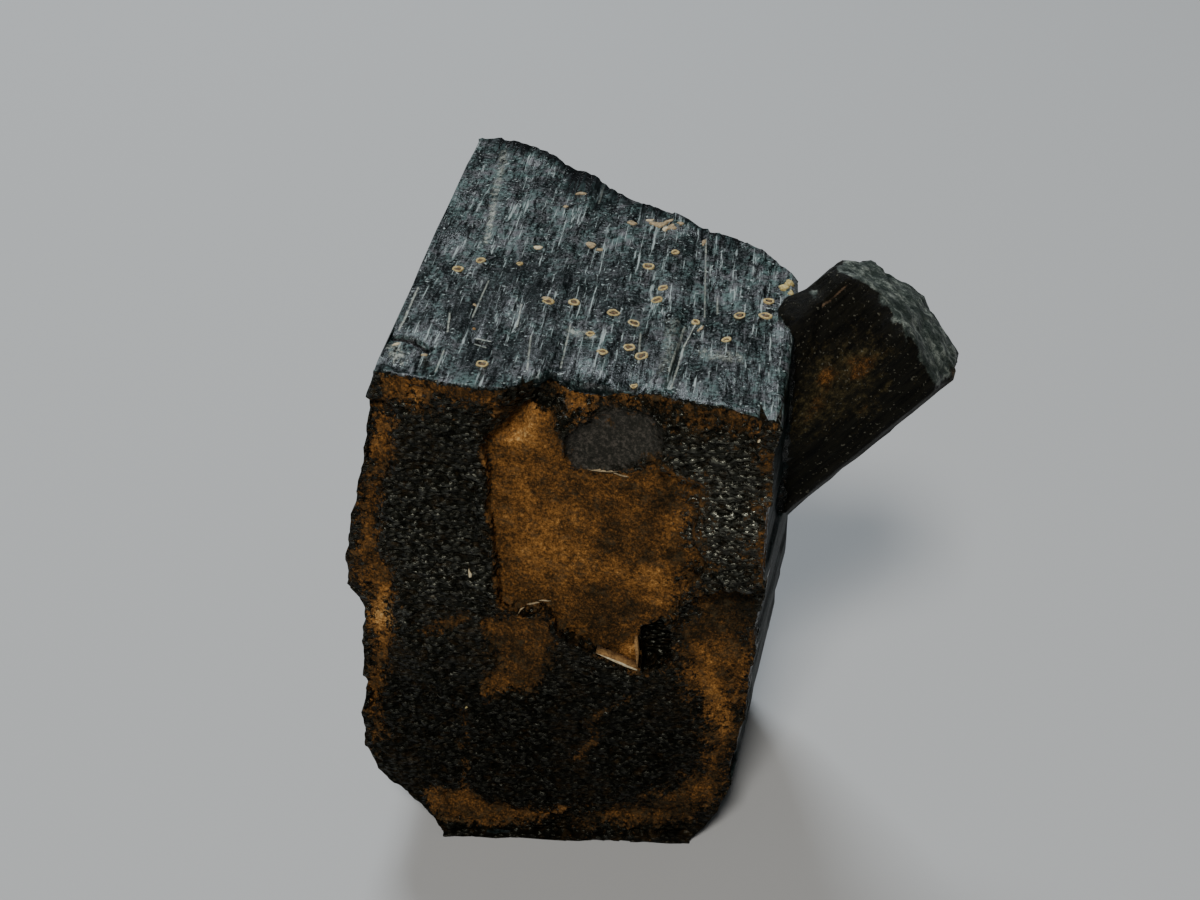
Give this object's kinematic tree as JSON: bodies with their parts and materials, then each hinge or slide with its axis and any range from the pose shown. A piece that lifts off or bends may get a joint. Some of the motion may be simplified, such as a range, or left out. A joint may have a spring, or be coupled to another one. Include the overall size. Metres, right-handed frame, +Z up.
{
  "type": "ilvaite crystal",
  "caption": "Stout black ilvaite crystal lying on a side face, rough rust-stained front end, with a small crystal grown slantwise from its flank.",
  "frame": {"origin": "bottom centre of the specimen's bounding box, on the surface it rests on", "axes": "+Z up from the side face it lies on; the large crystal's long axis runs along Y, its natural front end towards -Y; the small crystal leans out towards +X"},
  "size_m": [0.0306, 0.0322, 0.0328],
  "materials": {
    "ilvaite": "black, striated and semi-glossy side faces, pebbly black front end with patches of rust-brown limonite"
  },
  "bodies": {
    "root": {"ilvaite_crystal": "ilvaite"}
  },
  "joints": []
}
